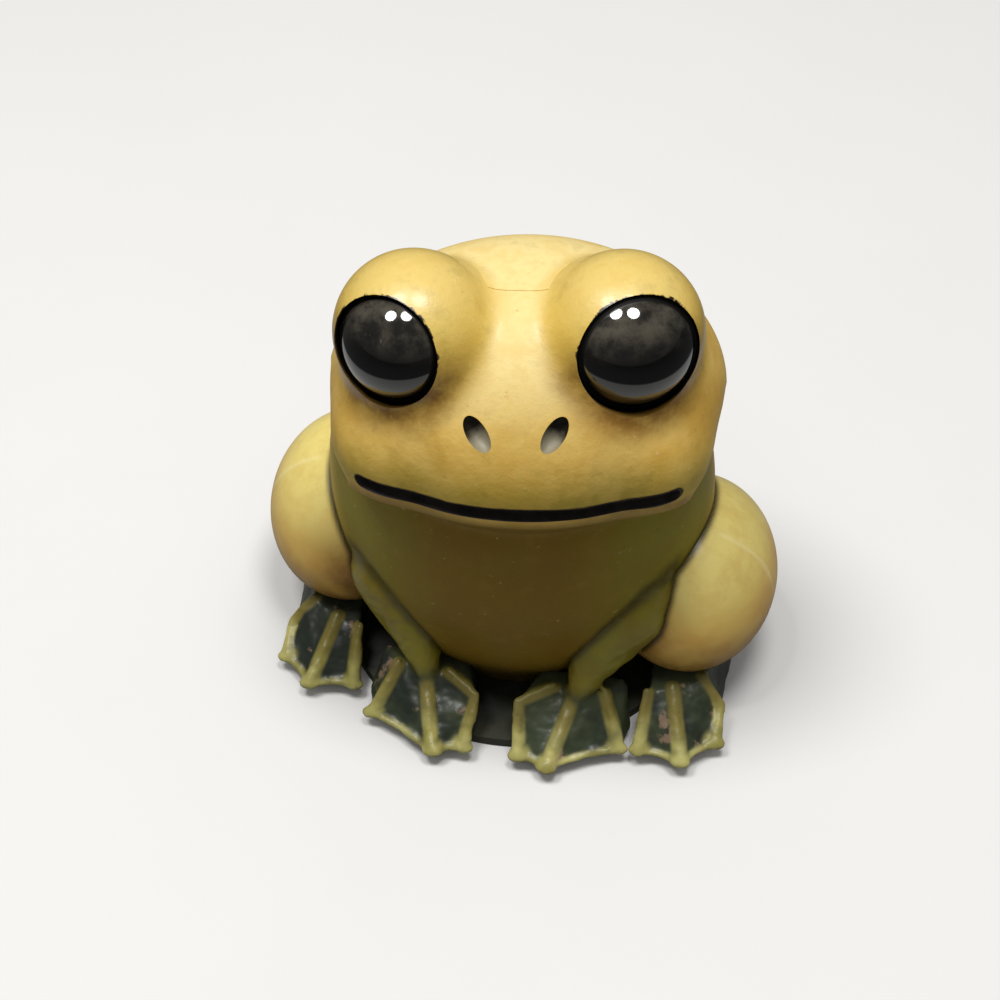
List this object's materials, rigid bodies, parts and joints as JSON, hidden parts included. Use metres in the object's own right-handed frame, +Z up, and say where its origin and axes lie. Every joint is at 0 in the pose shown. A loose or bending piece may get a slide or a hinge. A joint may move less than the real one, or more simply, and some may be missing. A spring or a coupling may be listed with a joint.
{
  "type": "frog figurine",
  "caption": "Small sitting frog ornament: hollow two-part moulded body with folded haunches, webbed feet and glossy dome eyes",
  "frame": {"origin": "centre of the sole's underside", "axes": "+Z up, the body faces -Y, the frog's own left is +X"},
  "size_m": [0.0528, 0.0407, 0.0544],
  "materials": {
    "skin": "satin airbrushed paint",
    "limb": "satin airbrushed paint",
    "eye": "polished",
    "sole": "matte"
  },
  "bodies": {
    "root": {"front_shell": "skin", "rear_shell": "skin", "left_haunch": "skin", "right_haunch": "skin", "left_foreleg": "limb", "right_foreleg": "limb", "left_hind_foot": "limb", "right_hind_foot": "limb", "left_eye": "eye", "right_eye": "eye", "sole_plate": "sole"}
  },
  "joints": []
}
